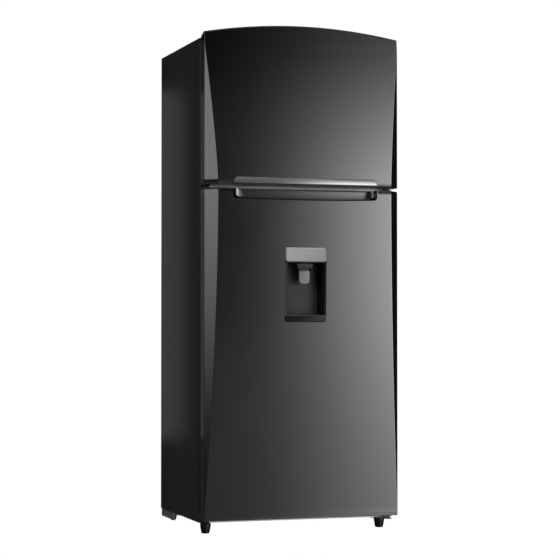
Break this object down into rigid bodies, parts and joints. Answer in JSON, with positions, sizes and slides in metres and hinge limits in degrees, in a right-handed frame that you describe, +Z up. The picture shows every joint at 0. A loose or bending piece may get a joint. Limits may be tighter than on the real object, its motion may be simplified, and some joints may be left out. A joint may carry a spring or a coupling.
{
  "type": "top freezer refrigerator",
  "caption": "Freestanding top freezer refrigerator with two bowed doors, recessed handles and a water dispenser in the lower door, fully fitted inside.",
  "frame": {"origin": "on the floor under the middle of the bounding box", "axes": "+X to the right seen from the front, -Y out of the doors, +Z up"},
  "size_m": [0.7, 0.641, 1.745],
  "materials": {
    "black_paint": "gloss",
    "side_paint": "satin",
    "zinc": "satin",
    "liner_white": "satin",
    "foam": "matte",
    "black_plastic": "satin",
    "gasket_grey": "matte",
    "silver_trim": "satin",
    "clear_plastic": "gloss",
    "shelf_glass": "gloss",
    "aluminium": "satin",
    "compressor_black": "satin",
    "lever_grey": "satin"
  },
  "bodies": {
    "cabinet": {"side_panel_left": "side_paint", "side_panel_right": "side_paint", "top_panel": "side_paint", "rear_panel": "zinc", "base_plate": "zinc", "cabinet_foam": "foam", "freezer_liner": "liner_white", "fridge_liner": "liner_white", "centre_rail": "silver_trim", "top_hinge": "zinc", "top_hinge_cover": "black_plastic", "middle_hinge": "zinc", "bottom_hinge": "zinc", "evaporator": "aluminium", "evaporator_cover": "liner_white", "fan_motor": "black_plastic", "freezer_shelf": "shelf_glass", "fridge_shelf_upper": "shelf_glass", "fridge_shelf_lower": "shelf_glass", "crisper_cover": "shelf_glass", "thermostat_housing": "liner_white", "lamp_lens": "clear_plastic", "compressor_tray": "zinc", "compressor": "compressor_black", "drain_pan": "black_plastic", "rear_cover": "zinc", "power_inlet": "black_plastic", "roller_axle": "zinc"},
    "freezer_door": {"freezer_door_panel": "black_paint", "freezer_door_top_cap": "black_plastic", "freezer_door_bottom_cap": "black_plastic", "freezer_door_foam": "foam", "handle_trim": "silver_trim", "freezer_door_liner": "liner_white", "freezer_door_gasket": "gasket_grey", "freezer_bin_lower": "clear_plastic", "freezer_bin_upper": "clear_plastic"},
    "fridge_door": {"fridge_door_panel": "black_paint", "fridge_door_top_cap": "black_plastic", "fridge_door_bottom_cap": "black_plastic", "fridge_door_foam": "foam", "fridge_door_liner": "liner_white", "fridge_door_gasket": "gasket_grey", "bottle_bin": "clear_plastic", "fridge_bin": "clear_plastic", "dispenser_housing": "black_plastic", "dispenser_fascia": "silver_trim", "dispenser_valve": "black_plastic", "water_tank": "clear_plastic", "water_tank_lid": "liner_white"},
    "lever": {"dispenser_lever": "lever_grey"},
    "drip_tray": {"drip_tray": "black_plastic"},
    "crisper_drawer": {"crisper_drawer": "clear_plastic"},
    "thermostat_knob": {"thermostat_knob": "lever_grey"},
    "door_switch": {"door_switch": "black_plastic"},
    "evaporator_fan": {"evaporator_fan": "black_plastic"},
    "rear_roller_left": {"rear_roller_left": "black_plastic"},
    "rear_roller_right": {"rear_roller_right": "black_plastic"},
    "levelling_foot_left": {"levelling_foot_left": "black_plastic"},
    "levelling_foot_right": {"levelling_foot_right": "black_plastic"}
  },
  "joints": [
    {"name": "freezer_door_swing", "type": "hinge", "parent": "cabinet", "child": "freezer_door", "pos_m": [0.326, -0.2605, 1.191], "axis": [0, 0, 1], "range_deg": [0, 115]},
    {"name": "fridge_door_swing", "type": "hinge", "parent": "cabinet", "child": "fridge_door", "pos_m": [0.326, -0.2605, 0.05], "axis": [0, 0, 1], "range_deg": [0, 115]},
    {"name": "dispenser_lever_push", "type": "hinge", "parent": "fridge_door", "child": "lever", "pos_m": [0, -0.29239, 0.90501], "axis": [1, 0, 0], "range_deg": [0, 12], "stiffness_Nm_per_rad": 0.15},
    {"name": "drip_tray_slide", "type": "slide", "parent": "fridge_door", "child": "drip_tray", "axis": [0, -0.9997, -0.0239], "range_m": [0, 0.05]},
    {"name": "crisper_slide", "type": "slide", "parent": "cabinet", "child": "crisper_drawer", "axis": [0, -1, 0], "range_m": [0, 0.028]},
    {"name": "thermostat_turn", "type": "hinge", "parent": "cabinet", "child": "thermostat_knob", "pos_m": [0, -0.0695, 1.124], "axis": [0, 1, 0], "range_deg": [-135, 135]},
    {"name": "door_switch_press", "type": "slide", "parent": "cabinet", "child": "door_switch", "axis": [0, 1, 0], "range_m": [0, 0.004], "stiffness_N_per_m": 150},
    {"name": "evaporator_fan_spin", "type": "hinge", "parent": "cabinet", "child": "evaporator_fan", "pos_m": [0, 0.2105, 1.585], "axis": [0, 1, 0], "continuous": true},
    {"name": "rear_roller_left_spin", "type": "hinge", "parent": "cabinet", "child": "rear_roller_left", "pos_m": [-0.318, 0.2605, 0.02], "axis": [1, 0, 0], "continuous": true},
    {"name": "levelling_foot_left_turn", "type": "hinge", "parent": "cabinet", "child": "levelling_foot_left", "pos_m": [-0.318, -0.1795, 0], "axis": [0, 0, 1], "continuous": true},
    {"name": "rear_roller_right_spin", "type": "hinge", "parent": "cabinet", "child": "rear_roller_right", "pos_m": [0.318, 0.2605, 0.02], "axis": [1, 0, 0], "continuous": true},
    {"name": "levelling_foot_right_turn", "type": "hinge", "parent": "cabinet", "child": "levelling_foot_right", "pos_m": [0.318, -0.1795, 0], "axis": [0, 0, 1], "continuous": true}
  ]
}
